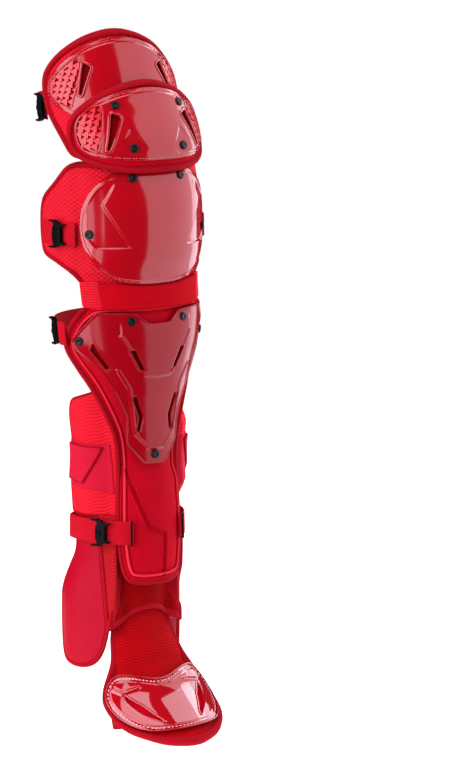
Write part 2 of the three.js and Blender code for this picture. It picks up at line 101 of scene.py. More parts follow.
back = toward(AZIMUTH, RISE)
right = toward(AZIMUTH + 90, 0)
up = back.cross(right)
aim = Vector((0, AXIS_Y, 0))
aim += right * (FRAME_WIDE / 2 - SHIN_PIXEL[0]) * PIXEL + up * (SHIN_PIXEL[1] - FRAME_TALL / 2) * PIXEL
lens = bpy.data.cameras.new("camera")
lens.lens = lens.sensor_width * DISTANCE / PIXEL / FRAME_TALL
camera = show("camera", lens)
turned = Matrix((right, up, back)).transposed().to_4x4()
camera.matrix_world = Matrix.Translation((aim + back * DISTANCE) * MM) @ turned
bpy.context.scene.camera = camera
bpy.context.scene.view_settings.view_transform = "Standard"


def softbox(name, azimuth, rise, distance, wide, tall, watts):
    """A rectangular light that faces the guard from an azimuth and height in degrees."""
    data = bpy.data.lights.new(name, "AREA")
    data.shape = "RECTANGLE"
    data.size = wide
    data.size_y = tall
    data.energy = watts
    data.color = SOFTBOX_TINT
    lamp = show(name, data)
    way = toward(azimuth, rise)
    lamp.location = way * distance
    lamp.rotation_euler = way.to_track_quat("Z", "Y").to_euler()


for box in SOFTBOXES:
    softbox(*box)

world = bpy.data.worlds.new("studio")
bpy.context.scene.world = world
world.use_nodes = True
sky = world.node_tree.nodes["Background"].inputs
sky["Color"].default_value = (1, 1, 1, 1)
path = fresh(world, "LightPath")
seen = fresh(world, "Mix")
seen.inputs["A"].default_value = SKY_DIFFUSE
seen.inputs["B"].default_value = SKY_CAMERA
link(world, path.outputs["Is Camera Ray"], seen.inputs["Factor"])
dim = fresh(world, "Mix")
dim.inputs["B"].default_value = SKY_GLOSSY
link(world, seen.outputs["Result"], dim.inputs["A"])
link(world, path.outputs["Is Glossy Ray"], dim.inputs["Factor"])
link(world, dim.outputs["Result"], sky["Strength"])

bm = bmesh.new()
bmesh.ops.create_grid(bm, x_segments=2, y_segments=2, size=1)
bmesh.ops.scale(bm, verts=bm.verts, vec=(FLOOR_HALF_WIDE, FLOOR_HALF_LONG, 1))
bmesh.ops.rotate(bm, verts=bm.verts, matrix=Matrix.Rotation(math.radians(AZIMUTH), 3, "Z"))
bmesh.ops.translate(bm, verts=bm.verts, vec=(-back.x * FLOOR_BEHIND, -back.y * FLOOR_BEHIND, FLOOR_Z))
floor = mesh_of("floor", bm, smooth=False)
pale = bpy.data.materials.new("floor_white")
pale.use_nodes = True
paint = pale.node_tree.nodes["Principled BSDF"].inputs
paint["Base Color"].default_value = (0.97, 0.97, 0.97, 1)
paint["Roughness"].default_value = 0.9
paint["Specular IOR Level"].default_value = 0.1
paint["Emission Color"].default_value = (1, 1, 1, 1)
paint["Emission Strength"].default_value = 0.8
floor.data.materials.append(pale)

# Thigh liner. A woven cover over foam, its edge bound with a soft roll of darker tape. It follows
# the front of the thigh, so its outline is laid flat in mm and then wrapped round the leg's form.
THIGH_TURN = -8
PAD_BACK, PAD_TOP, PAD_LIP = -16, -4.8, -0.2
HOLE_MARGIN = 1.3
CLOTH_ROUGH = 0.82
LINER_RED = (0.72, 0.0030, 0.018)
BINDING_RED = (0.34, 0.0004, 0.007)


def ramp(low, high, x):
    """0 at low, 1 at high, eased between them, whichever is the larger."""
    t = np.clip((x - low) / (high - low), 0, 1)
    return t * t * (3 - 2 * t)


def mix(low, high, t):
    """From low at 0 to high at 1."""
    return low + (high - low) * t


def upright(girth, *rows):
    """A form from rows of station, which is its height, half width, half depth and front y, in mm."""
    return np.array([(s, a, b, front, s, 0) for s, a, b, front in rows]), girth


def column(rows, key, s):
    """One column of a form at stations s, on a smooth curve through its rows."""
    at, value = rows[:, 0], rows[:, key]
    i = np.clip(np.searchsorted(at, s, side="right") - 1, 0, len(at) - 2)
    low, high = np.maximum(i - 1, 0), np.minimum(i + 2, len(at) - 1)
    span = at[i + 1] - at[i]
    t = np.clip((s - at[i]) / span, 0, 1)
    rise = (value[i + 1] - value[low]) / (at[i + 1] - at[low]) * span
    fall = (value[high] - value[i]) / (at[high] - at[i]) * span
    return (
        (2 * t**3 - 3 * t**2 + 1) * value[i] + (t**3 - 2 * t**2 + t) * rise
        + (3 * t**2 - 2 * t**3) * value[i + 1] + (t**3 - t**2) * fall
    )


def wrap(form, x, y, level, turn=0):
    """Points in metres for flat places x, y in mm, raised by level off the form."""
    rows, girth = form
    a, b, front, z, tilt = (column(rows, key, y) for key in range(1, 6))
    u = x / girth + math.radians(turn)
    tilt = np.radians(tilt)
    reach = (b + level) * np.cos(u) - b
    return np.stack([
        (a + level) * np.sin(u),
        front + AXIS_Y - np.cos(tilt) * reach,
        z + np.sin(tilt) * reach,
    ], axis=-1) * MM


def flatly(form, corners, side=1):
    """Corners of angle and station as flat places in mm."""
    return np.array([(side * math.radians(c[0]) * form[1], c[1]) for c in corners])


def outline(form, corners, half=False, side=1, count=300):
    """A closed flat outline from corners of angle, station and rounding in mm.

    A half outline runs from the top middle to the bottom middle and is mirrored.
    """
    places = flatly(form, corners, side)
    flat = [(x, y, c[2] if len(c) > 2 else 200) for (x, y), c in zip(places, corners)]
    if half:
        flat += [(-x, y, r) for x, y, r in reversed(flat[1:-1])]
    p = np.array(flat, dtype=float)
    q = np.roll(p, -1, axis=0)
    if np.sum(p[:, 0] * q[:, 1] - q[:, 0] * p[:, 1]) < 0:
        p = p[::-1]
    dense = []
    for i, corner in enumerate(p):
        cuts = []
        for end in (p[i - 1], p[(i + 1) % len(p)]):
            share = min(corner[2] / np.hypot(*(end[:2] - corner[:2])), 0.5)
            cuts.append(mix(corner[:2], end[:2], share))
        for t in np.linspace(0, 1, 12):
            dense.append((1 - t) ** 2 * cuts[0] + 2 * t * (1 - t) * corner[:2] + t**2 * cuts[1])
    dense = np.array(dense + dense[:1])
    run = np.concatenate([[0], np.cumsum(np.hypot(*np.diff(dense, axis=0).T))])
    at = np.linspace(0, run[-1], count, endpoint=False)
    return np.stack([np.interp(at, run, dense[:, 0]), np.interp(at, run, dense[:, 1])], axis=-1)


def inward(loop):
    """Unit normals of a flat loop, towards its inside."""
    along = np.roll(loop, -1, axis=0) - np.roll(loop, 1, axis=0)
    normal = np.stack([-along[:, 1], along[:, 0]], axis=-1)
    for _ in range(4):
        normal = normal + np.roll(normal, 1, axis=0) + np.roll(normal, -1, axis=0)
    return normal / np.maximum(np.hypot(normal[:, 0], normal[:, 1]), 1e-9)[:, None]


def near_line(points, x, y):
    """Distance in mm from an open flat line."""
    a, edge = points[:-1], np.diff(points, axis=0)
    p = np.stack([x, y], axis=-1)[:, None, :]
    t = np.clip(np.sum((p - a) * edge, -1) / np.maximum(np.sum(edge * edge, -1), 1e-9), 0, 1)
    return np.sqrt(np.sum((p - (a + edge * t[..., None])) ** 2, -1)).min(axis=1)


def depth_in(polygon, x, y):
    """Distance in mm inside a flat polygon, negative outside it."""
    a, b = polygon, np.roll(polygon, -1, axis=0)
    p = np.stack([x, y], axis=-1)[:, None, :]
    near = near_line(np.vstack([a, a[:1]]), x, y)
    above = (a[None, :, 1] > p[..., 1]) != (b[None, :, 1] > p[..., 1])
    slope = np.where(b[:, 1] == a[:, 1], 1e-9, b[:, 1] - a[:, 1])
    crossing = a[None, :, 0] + (p[..., 1] - a[None, :, 1]) / slope[None] * (b - a)[None, :, 0]
    odd = np.sum(above & (p[..., 0] < crossing), axis=1) % 2 == 1
    return np.where(odd, near, -near)


def read(items, key, size, kind=np.float32):
    """One value of every item of a mesh."""
    values = np.zeros(len(items) * size, kind)
    items.foreach_get(key, values)
    return values.reshape(-1, size)


def wrapped(name, form, loop, rows, layers=(0, 0, 0), centre=(0, None), turn=0, relief=None, holes=()):
    """A mesh over a form: a flat loop carried through rows of inset, share and level.

    An inset moves the loop inwards and a share draws it to the centre, which closes at share 1.
    A row's other values are how much of the relief it takes, the finish of the faces after it, and
    its layer from 0, the back, through 1, the lip, to 2, the flat, each a level or a function.
    """
    halfway = (loop[:, 1].max() + loop[:, 1].min()) / 2
    middle = np.array([math.radians(centre[0]) * form[1], centre[1] or halfway])
    count, last = len(loop), len(rows) - 1
    bm = bmesh.new()
    bmesh.ops.create_grid(bm, x_segments=count, y_segments=last, size=1)
    mesh = bpy.data.meshes.new(name)
    bm.to_mesh(mesh)
    bm.free()
    co = read(mesh.vertices, "co", 3)
    i = np.rint((co[:, 0] + 1) / 2 * count).astype(int) % count
    j = np.rint((co[:, 1] + 1) / 2 * last).astype(int)
    table = np.array([tuple(row) + (0, 0, 0)[len(row) - 3:] for row in rows], dtype=float)
    inset, share, level, weight, _, layer = (table[j, key] for key in range(6))
    flat = loop[i] + inward(loop)[i] * inset[:, None]
    flat = flat + (middle - flat) * share[:, None]
    angle = np.degrees(flat[:, 0] / form[1])
    base = [value(angle, flat[:, 1]) if callable(value) else value for value in layers]
    level = level + mix(base[0], base[1], np.clip(layer, 0, 1))
    level = level + (base[2] - base[1]) * np.clip(layer - 1, 0, 1)
    if relief is not None:
        level = level + relief(flat[:, 0], flat[:, 1]) * weight
    place = wrap(form, flat[:, 0], flat[:, 1], level, turn)
    mesh.vertices.foreach_set("co", place.astype(np.float32).ravel())
    lay = mesh.attributes.new("lay", "FLOAT_VECTOR", "POINT")
    lay.data.foreach_set("vector", np.column_stack([flat * MM, j]).astype(np.float32).ravel())
    bm = bmesh.new()
    bm.from_mesh(mesh)
    bmesh.ops.remove_doubles(bm, verts=bm.verts, dist=2e-6)
    spot = bm.verts.layers.float_vector["lay"]
    if holes:
        sums = [sum((v[spot] for v in face.verts), Vector()) / len(face.verts) for face in bm.faces]
        centres = np.array(sums) / MM
        depths = [depth_in(hole, centres[:, 0], centres[:, 1]) for hole in holes]
        cut = np.max(depths, axis=0) > -HOLE_MARGIN
        bmesh.ops.delete(bm, geom=[face for face, out in zip(bm.faces, cut) if out], context="FACES")
    bmesh.ops.recalc_face_normals(bm, faces=bm.faces)
    if any(edge.is_boundary for edge in bm.edges):
        ends = wrap(form, middle[:1].repeat(2), middle[1:].repeat(2), np.array([0, 1]), turn)
        out = Vector(ends[1] - ends[0])
        if sum(face.normal.dot(out) for face in bm.faces) < 0:
            bmesh.ops.reverse_faces(bm, faces=bm.faces)
    for face in bm.faces:
        face.smooth = True
        face.material_index = int(table[min(int(min(v[spot].z for v in face.verts)), last), 4])
    bm.to_mesh(mesh)
    bm.free()
    flats = read(mesh.attributes["lay"].data, "vector", 3)
    corner = read(mesh.loops, "vertex_index", 1, np.int32)[:, 0]
    mesh.attributes.remove(mesh.attributes["lay"])
    uv = mesh.uv_layers.new(name="cut")
    uv.data.foreach_set("uv", flats[corner, :2].ravel())
    return show(name, mesh)


def fan(steps, inset, level=0.0):
    """Rows that draw a loop evenly to its centre."""
    return [(inset, k / steps, level, 1, 0, 2) for k in range(1, steps + 1)]


def padded_rows(roll=8.3, steps=34, seam=0.8, back_steps=8, ridge=()):
    """Rows of a foam piece from the pole of its back, round its bound edge, to its front pole.

    A ridge is more rows of inset, level and finish that run round inside the bound edge.
    """
    rows = [(roll, 1 - k / back_steps, 0, 0, 0, 0) for k in range(back_steps)]
    rim = [
        (1.0, 0, 0), (0.45, 0, 0), (0.2, 0, 0.08), (0.06, 0, 0.25), (0, 0, 0.5), (0.05, 0, 0.75),
        (0.17, 0, 0.92), (0.33, 0, 0.99), (0.5, 0, 1), (0.68, -0.05, 1), (0.82, -0.16, 1),
    ]
    rows += [(roll * share, 0, roll * level, 0, 1, layer) for share, level, layer in rim]
    rows += [(roll * 0.92, 0, -seam, 0, 0, 2), (roll, 0, -seam * 0.3, 0.3, 0, 2)]
    rows += [(roll * 1.15, 0, 0, 0.8, 0, 2)]
    rows += [(inset, 0, level, 1, look, 2) for inset, level, look in ridge]
    return rows + fan(steps, rows[-1][0])


def calc(made, operation, *values):
    """A math node's result from numbers or sockets."""
    node = fresh(made, "Math")
    node.operation = operation
    for socket, value in zip(node.inputs, values):
        if isinstance(value, (int, float)):
            socket.default_value = value
        else:
            link(made, value, socket)
    return node.outputs["Value"]


def noise(made, scale, detail=3):
    """Noise from 0 to 1 on the piece's own coordinates."""
    spot = fresh(made, "TexCoord")
    cloud = fresh(made, "TexNoise")
    cloud.inputs["Scale"].default_value = scale
    cloud.inputs["Detail"].default_value = detail
    link(made, spot.outputs["Object"], cloud.inputs["Vector"])
    return cloud.outputs["Fac"]


def finish(name, colour, roughness, height=None, bump=0.0003, tone=None, strength=0.6, shine=0.5):
    """Joins a colour, its tone, and a height to a material's surface; height and tone are makers."""
    made = bpy.data.materials.new(name)
    made.use_nodes = True
    bsdf = made.node_tree.nodes["Principled BSDF"]
    bsdf.inputs["Roughness"].default_value = roughness
    bsdf.inputs["Base Color"].default_value = (*colour, 1)
    bsdf.inputs["Specular IOR Level"].default_value = shine
    relief = height(made) if height else None
    if tone:
        paint = fresh(made, "VectorMath")
        paint.operation = "SCALE"
        paint.inputs[0].default_value = colour
        link(made, tone(made, relief), paint.inputs["Scale"])
        link(made, paint.outputs["Vector"], bsdf.inputs["Base Color"])
    if relief:
        node = fresh(made, "Bump")
        node.inputs["Strength"].default_value = strength
        node.inputs["Distance"].default_value = bump
        link(made, relief, node.inputs["Height"])
        link(made, node.outputs["Normal"], bsdf.inputs["Normal"])
    return made


def cloth(
    name, colour, cells, pattern="weave", dark=0.55, mottle=0.12, shine=0.2, bump=0.0004, slant=0,
):
    """Cloth whose threads, diamonds or ribs have a size across and along in mm; ribs may slant."""

    def height(made):
        uv = fresh(made, "UVMap")
        uv.uv_map = "cut"
        parts = fresh(made, "SeparateXYZ")
        link(made, uv.outputs["UV"], parts.inputs["Vector"])
        across = calc(made, "MULTIPLY", parts.outputs["X"], math.pi / MM / cells[0])
        along = calc(made, "MULTIPLY", parts.outputs["Y"], math.pi / MM / cells[1])
        if pattern == "rib":
            wobble = calc(made, "MULTIPLY", calc(made, "SINE", across), 0.55)
            outwards = calc(made, "ABSOLUTE", parts.outputs["X"])
            climb = calc(made, "MULTIPLY", outwards, slant * math.pi / MM / cells[1])
            way = calc(made, "ADD", calc(made, "ADD", along, wobble), climb)
            return calc(made, "ABSOLUTE", calc(made, "SINE", way))
        if pattern == "diamond":
            across, along = calc(made, "ADD", across, along), calc(made, "SUBTRACT", across, along)
        waves = [calc(made, "ABSOLUTE", calc(made, "SINE", way)) for way in (across, along)]
        return calc(made, "POWER", calc(made, "MINIMUM", *waves), 0.6)

    def tone(made, relief):
        # Painted shade: the colour darkens in the low places of the weave, diamonds and ribs, down to dark.
        threads = calc(made, "MULTIPLY_ADD", relief, 1.1 - dark, dark)
        drift = calc(made, "MULTIPLY_ADD", noise(made, 38), 2 * mottle, 1 - mottle)
        fibre = calc(made, "MULTIPLY_ADD", noise(made, 1500, 1), 0.3, 0.85)
        return calc(made, "MULTIPLY", calc(made, "MULTIPLY", threads, drift), fibre)

    return finish(name, colour, CLOTH_ROUGH, height, bump, tone, shine=shine)


def plain_cloth(name, colour, cell, dark, mottle, shine):
    """Cloth of so fine a weave that it looks smooth."""
    return cloth(name, colour, (cell, cell), dark=dark, mottle=mottle, shine=shine, bump=0.0001)


def dress(piece, slot, looks, *nodes):
    """Gives a piece its finishes, rides it on the guard, and lets it stand for its solids."""
    for look in looks:
        piece.data.materials.append(look)
    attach(piece, "root")
    if nodes:
        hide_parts(*nodes)
    return piece


THIGH = upright(
    75,
    (252, 78, 72, -55.5),
    (270, 78, 72, -51.5),
    (300, 78, 72, -40),
    (343, 78, 72, -24),
    (370, 77, 70, -14),
    (400, 76, 68, -2),
)
mesh_cloth = cloth("mesh_cloth", LINER_RED, (7.2, 4.6), "diamond", dark=0.5, bump=0.0009)
binding_tape = plain_cloth("binding_tape", BINDING_RED, 0.8, 0.8, 0.1, 0.1)
thigh_edge = outline(THIGH, [
    (0, 392), (30, 380), (52, 355), (64, 343), (72, 334), (77, 320), (78, 303), (71, 284),
    (62, 259.4, 10), (40, 257.1, 10), (0, 257.1), (-40, 257.1, 10), (-62, 259.4, 10),
    (-72, 284), (-80, 303), (-81, 323), (-77, 341), (-68, 353.5), (-54, 368), (-30, 384),
])
thigh_liner = wrapped(
    "thigh_liner", THIGH, thigh_edge, padded_rows(7.2), (PAD_BACK, PAD_LIP, PAD_TOP + 0.8),
    (0, 320), THIGH_TURN,
)
dress(thigh_liner, "pad_red", [mesh_cloth, binding_tape], "thigh_pad")

# Thigh cap. A glossy moulded shell sewn on round its edge, with a studded window and a lipped vent
# on each side. Its skin follows the liner and is thickened inwards.
SHELL_RED = (0.39, 0.0007, 0.0065)
SHELL_THICK = 2.6
THREAD_PINK = (0.78, 0.16, 0.19)
SIDES = (("outer", -1), ("inner", 1))
WINDOW_SINK = 0.9
INNER_DRAWN = 0.95
SEAM_INSET, SEAM_LEVEL = 2.6, -0.65


def cap_rows(flange=5.0, drop=0.8, steps=50):
    """Rows of a cap's skin: rounded rim, sewn flange, a step up, then the dome to its pole."""
    rim = [
        (0, -2.0, 0), (0.12, -1.5, 0), (0.4, -drop - 0.25, 0), (0.8, -drop, 0), (flange - 0.8, -drop, 0),
        (flange - 0.2, -drop * 0.8, 0.1), (flange + 0.4, -drop * 0.2, 0.3), (flange + 1, 0, 0.6),
    ]
    return [(inset, 0, level, weight) for inset, level, weight in rim] + fan(steps, flange + 1)


def thicken(piece, thick=SHELL_THICK):
    """Gives a single skin its wall, inwards."""
    wall = piece.modifiers.new("wall", "SOLIDIFY")
    wall.thickness = thick * MM
    wall.offset = -1
    return piece


def cap(stem, form, edge, rows, middle, look, node, turn=0, relief=None, slots=()):
    """A cap's skin with its slots cut out on both sides, thickened into its wall."""
    holes = [flatly(form, slot, side) for slot in slots for _, side in SIDES]
    skin = wrapped(f"{stem}_cap", form, edge, rows, (0, 0, 0), (0, middle), turn, relief, holes)
    dress(thicken(skin), "shell_red", [look], node)


def moulded(name, colour, roughness=0.12, coat=0.3, shine=0.5):
    """Glossy moulded plastic with handling marks."""
    made = finish(
        name, colour, roughness, lambda made: noise(made, 420, 1), 0.0001,
        lambda made, relief: calc(made, "MULTIPLY_ADD", noise(made, 26, 5), 0.2, 0.9), 0.06, shine,
    )
    bsdf = made.node_tree.nodes["Principled BSDF"]
    smudge = calc(made, "MULTIPLY_ADD", noise(made, 31, 4), roughness, roughness * 0.5)
    link(made, smudge, bsdf.inputs["Roughness"])
    bsdf.inputs["Coat Weight"].default_value = coat
    bsdf.inputs["Coat Roughness"].default_value = 0.03
    return made


def seat(form, spot, level, turn=0, way=(1, 0)):
    """A frame in metres on a form, with X along a flat way and Z outwards."""
    way = np.array(way, dtype=float)
    side = np.array([-way[1], way[0]])
    spots = np.array([spot, spot + way * 0.5, spot + side * 0.5])
    p, q, r = wrap(form, spots[:, 0], spots[:, 1], np.full(3, float(level)), turn)
    x = Vector(q - p).normalized()
    z = x.cross(Vector(r - p)).normalized()
    return Matrix.Translation(p) @ Matrix((x, z.cross(x), z)).transposed().to_4x4()


def stitches(name, form, loop, inset, level, turn=0, pitch=3.2, long=2.1, wide=0.75, keep=None):
    """A row of short thread stitches along a loop, as one mesh."""
    path = loop + inward(loop) * inset
    step = np.roll(path, -1, axis=0) - path
    length = np.hypot(step[:, 0], step[:, 1])
    run = np.cumsum(length)
    size = Matrix.Diagonal((long / 2 * MM, wide / 2 * MM, wide / 2.4 * MM, 1))
    bm = bmesh.new()
    for at in np.arange(pitch / 2, run[-1], pitch):
        k = int(np.searchsorted(run, at))
        if keep is None or keep(*path[k]):
            grip = seat(form, path[k], level, turn, step[k] / length[k])
            bmesh.ops.create_uvsphere(bm, u_segments=6, v_segments=4, radius=1, matrix=grip @ size)
    return mesh_of(name, bm)


def bead_rows(radius, level, sides=10):
    """Rows of a round bead that follows a loop."""
    turns = [2 * math.pi * k / sides for k in range(sides + 1)]
    return [(-radius * math.cos(t), 0, level + radius * math.sin(t)) for t in turns]


def vent(name, form, corners, side=1, turn=0, lip=1.1, wide=3.0, round_off=2, depth=3.4):
    """A slot in a cap: a lip round it, and walls that go down to its bottom."""
    loop = outline(form, [(u, s, round_off) for u, s in corners], side=side, count=110)
    lip_rows = [
        (-wide - 0.4, -0.6), (-wide, 0.05), (-wide * 0.7, lip * 0.7), (-wide * 0.4, lip),
        (-0.3, lip * 0.75), (0, lip * 0.2), (0.1, -1), (0.15, -depth), (0.3, -depth),
    ]
    rows = [(inset, 0, level, 0, int(level < -0.9)) for inset, level in lip_rows]
    rows += [(0.3, k / 3, -depth, 0, 1) for k in range(1, 4)]
    middle = side * (min(c[0] for c in corners) + max(c[0] for c in corners)) / 2
    return wrapped(name, form, loop, rows, centre=(middle, None), turn=turn)


def studs(name, form, window, turn=0, pitch=7.0, radius=5.35, height=0.74, level=-0.9):
    """Raised three-sided studs that run together and leave dark triangles, as one mesh."""
    low, high = window.min(axis=0), window.max(axis=0)
    spin = Matrix.Rotation(math.pi / 2, 4, "Z") @ Matrix.Translation((0, 0, height * MM / 2))
    bm = bmesh.new()
    for row, y in enumerate(np.arange(low[1], high[1], pitch * 0.86)):
        xs = np.arange(low[0] + (row % 2) * pitch / 2, high[0], pitch)
        for k, (x, deep) in enumerate(zip(xs, depth_in(window, xs, np.full(len(xs), y)))):
            if deep < 0.6:
                continue
            size = radius * min(1, (deep + 1.6) / 5.4) * MM
            step = 0.03 * ((k + row) % 3)
            bmesh.ops.create_cone(
                bm, cap_ends=True, segments=3, radius1=size, radius2=size * 0.94,
                depth=height * MM, matrix=seat(form, np.array([x, y]), level - step, turn) @ spin,
            )
    return mesh_of(name, bm, smooth=False)


def window_floor(name, form, window, turn=0, level=-0.75):
    """The darker skin between the studs of a window."""
    middle = np.degrees((window[:, 0].max() + window[:, 0].min()) / 2 / form[1])
    rows = [(0.6, 0, level)] + fan(8, 0.6, level)
    return wrapped(name, form, window, rows, centre=(middle, None), turn=turn)


def sunk(windows):
    """Relief of windows that sink a little into a cap."""
    return lambda x, y: -WINDOW_SINK * sum(ramp(0, 1.4, depth_in(window[::4], x, y)) for window in windows)


def both_windows(form, corners):
    """The window of each side; the inner one is drawn in a little."""
    return [outline(form, corners, side=min(side, INNER_DRAWN), count=140) for _, side in SIDES]


def trim_cap(stem, form, windows, vent_corners, turn=0):
    """Rims, dark floors and studs for a cap's windows, and its vents."""
    for (name, side), window in zip(SIDES, windows):
        rim = wrapped(f"{stem}_window_rim_{name}", form, window, bead_rows(0.8, -0.1), turn=turn)
        dress(rim, "shell_red", [shell_gloss])
        dress(window_floor(f"{stem}_window_floor_{name}", form, window, turn), "shell_red", [window_shade])
        dress(studs(f"{stem}_studs_{name}", form, window, turn), "shell_red", [stud_highlight_satin])
        slot = vent(f"{stem}_vent_{name}", form, vent_corners, side, turn)
        dress(slot, "shell_red", [shell_gloss, window_shade])


def thread(name, colour):
    """Sewing thread."""
    return finish(name, colour, 0.6, lambda made: noise(made, 1200, 1), 0.0002)


shell_gloss = moulded("shell_gloss", SHELL_RED)
# Painted highlight: the studs are a lighter red than the shell round them.
stud_highlight_satin = moulded("stud_highlight_satin", (0.60, 0.004, 0.014), 0.34, 0.1)
window_shade = finish("window_shade", (0.17, 0.0001, 0.002), 0.8, shine=0.04)
thread_pink = thread("thread_pink", THREAD_PINK)
thigh_cap_edge = outline(THIGH, [
    (0, 384), (30, 373), (50, 352), (60, 343), (68, 334), (70, 322), (66, 313), (50, 303), (38, 290, 12),
    (30, 268, 10), (0, 267), (-30, 268, 10), (-38, 290, 12), (-51, 303), (-68, 312), (-74, 322),
    (-71, 336), (-62, 346), (-51, 357), (-30, 375),
])
THIGH_WINDOW = [
    (35, 365, 6), (50, 353, 12), (61, 342, 10), (70.5, 329, 10), (66, 317, 8), (51, 309, 5),
    (43, 330, 20), (36, 352, 14),
]
THIGH_VENT = [(28.5, 352), (34, 355.5), (42, 323.5), (40, 323.5)]
thigh_windows = both_windows(THIGH, THIGH_WINDOW)
cap(
    "thigh", THIGH, thigh_cap_edge, cap_rows(), 325, shell_gloss, "thigh_shell", THIGH_TURN,
    sunk(thigh_windows), [THIGH_VENT],
)
thigh_stitches = stitches("thigh_stitches", THIGH, thigh_cap_edge, SEAM_INSET, SEAM_LEVEL, THIGH_TURN)
dress(thigh_stitches, "shell_red", [thread_pink])
trim_cap("thigh", THIGH, thigh_windows, THIGH_VENT, THIGH_TURN)

# Upper knee pad. A smaller bound liner that laps over the thigh and knee caps, carrying a sewn cap
# with studded windows, a vent each side, and a hollow round each lower rivet.
UPPER = upright(
    82,
    (245, 86, 78, -68),
    (262, 87, 80, -70),
    (280, 87, 80, -66),
    (300, 87, 80, -57),
    (323, 85, 78, -45),
    (350, 81, 76, -36),
)
UPPER_LINER_RED = (0.50, 0.0004, 0.011)
smooth_cloth = plain_cloth("smooth_cloth", UPPER_LINER_RED, 0.7, 0.85, 0.06, 0.05)
upper_edge = outline(UPPER, [
    (0, 341.5), (28, 332), (52, 313), (63, 299), (68, 284), (67, 268), (56, 256), (37, 248),
    (19, 245.5), (0, 246), (-19, 245.5), (-37, 248), (-57, 256), (-69, 268), (-70, 285),
    (-65, 300), (-54, 314), (-28, 333),
])
upper_liner = wrapped(
    "upper_liner", UPPER, upper_edge, padded_rows(7.5),
    (lambda u, s: -9.5 + 1.5 * ramp(270, 258, s), 0.2, PAD_TOP + 0.8), (0, 292),
)
dress(upper_liner, "pad_red", [smooth_cloth, binding_tape], "upper_pad")

UPPER_WINDOW = [
    (61, 285, 12), (56, 301, 8), (44, 313, 8), (35.5, 315, 5), (39, 290, 30), (45.5, 267, 5), (58, 269, 8),
]
UPPER_VENT = [(25, 303), (31, 306.5), (39.5, 270), (37.5, 270)]
UPPER_HOLLOW = [(20, 293), (10.6, 272), (15, 262), (31, 262), (31, 275)]
HOLLOW_DEEP = 1.3
upper_cap_edge = outline(UPPER, [
    (0, 333), (22, 328), (41, 317), (54, 301), (60, 285), (58, 271), (47, 263), (25, 259), (0, 259),
    (-25, 259), (-49, 262.5), (-60.5, 271), (-63, 286), (-57, 303), (-42, 318.5), (-22, 328.5),
])
upper_windows = both_windows(UPPER, UPPER_WINDOW)
upper_hollows = [flatly(UPPER, UPPER_HOLLOW, side) for _, side in SIDES]


def upper_relief(x, y):
    """Sunk windows, and a hollow outside each lower crease that fades towards the vent."""
    fade = ramp(31, 18, np.abs(np.degrees(x / UPPER[1])))
    hollow = sum(ramp(0, 1.6, depth_in(corner, x, y)) for corner in upper_hollows)
    return sunk(upper_windows)(x, y) - HOLLOW_DEEP * hollow * fade


cap(
    "upper", UPPER, upper_cap_edge, cap_rows(steps=56), 294, shell_gloss, "upper_shell",
    relief=upper_relief, slots=[UPPER_VENT],
)
upper_stitches = stitches("upper_stitches", UPPER, upper_cap_edge, SEAM_INSET, SEAM_LEVEL)
dress(upper_stitches, "shell_red", [thread_pink])
trim_cap("upper", UPPER, upper_windows, UPPER_VENT)

# Knee pad. A winged liner in diamond mesh, its wings bound with a roll, under the largest dome. The
# dome is sewn on below and has a triangular facet pressed into each side.
KNEE = upright(
    80,
    (105, 86, 66, -62),
    (133, 85, 66, -61),
    (160, 86, 73, -68),
    (190, 86, 76, -70),
    (225, 86, 74, -67),
    (258, 84, 66, -55),
)
BELOW_BAND = PAD_TOP - 1.2
WING_SPREAD = 3.5


def knee_spread(u):
    """The wings stand a little wider than the leg."""
    return WING_SPREAD * ramp(86, 104, np.abs(u))


def knee_flat(u, s):
    """Level of the liner's front: under the dome, then out on the wings."""
    return mix(PAD_TOP - 1.2 * ramp(146, 134, s), -1.6, ramp(62, 74, np.abs(u))) + knee_spread(u)


def knee_lip(u, s):
    """Level of the liner's bound edge, which dips under the band."""
    return mix(BELOW_BAND, -0.2, ramp(58, 72, np.abs(u))) + knee_spread(u)


knee_edge = outline(KNEE, [
    (0, 256), (45, 256.5, 20), (70, 257, 12), (86, 239), (104, 220), (113, 200), (113, 175), (106, 158),
    (84, 149), (68, 140), (58, 119, 6), (30, 117.5, 10), (0, 117.5),
], half=True, count=380)
knee_liner = wrapped(
    "knee_liner", KNEE, knee_edge, padded_rows(6.5, 44), (PAD_BACK, knee_lip, knee_flat), (0, 190),
)
dress(knee_liner, "pad_red", [mesh_cloth, binding_tape], "knee_pad")

KNEE_FACET = [(29, 244), (43, 214), (23, 169), (49, 169), (60, 184), (58, 214), (46, 244)]
FACET_DEEP = 2.0
KNEE_LAST_STITCH = 150
knee_cap_edge = outline(KNEE, [
    (0, 250.5), (22, 250), (41, 243), (57, 223), (64, 197), (61.5, 173), (49, 150), (34, 135), (17, 131),
    (0, 130.5),
], half=True, count=360)
knee_facets = [flatly(KNEE, KNEE_FACET, side) for _, side in SIDES]


def knee_relief(x, y):
    """Facets whose inner sides are crisp and whose outer sides fade into the dome."""
    fade = ramp(60, 44, np.abs(np.degrees(x / KNEE[1]))) * ramp(240, 226, y)
    return -FACET_DEEP * fade * sum(ramp(0, 2.0, depth_in(facet, x, y)) for facet in knee_facets)


cap(
    "knee", KNEE, knee_cap_edge, cap_rows(4.0, 0.7, 80), 192, shell_gloss, "knee_shell", relief=knee_relief,
)
knee_stitches = stitches(
    "knee_stitches", KNEE, knee_cap_edge, 2.4, -0.6, keep=lambda x, y: y < KNEE_LAST_STITCH,
)
dress(knee_stitches, "shell_red", [thread_pink])

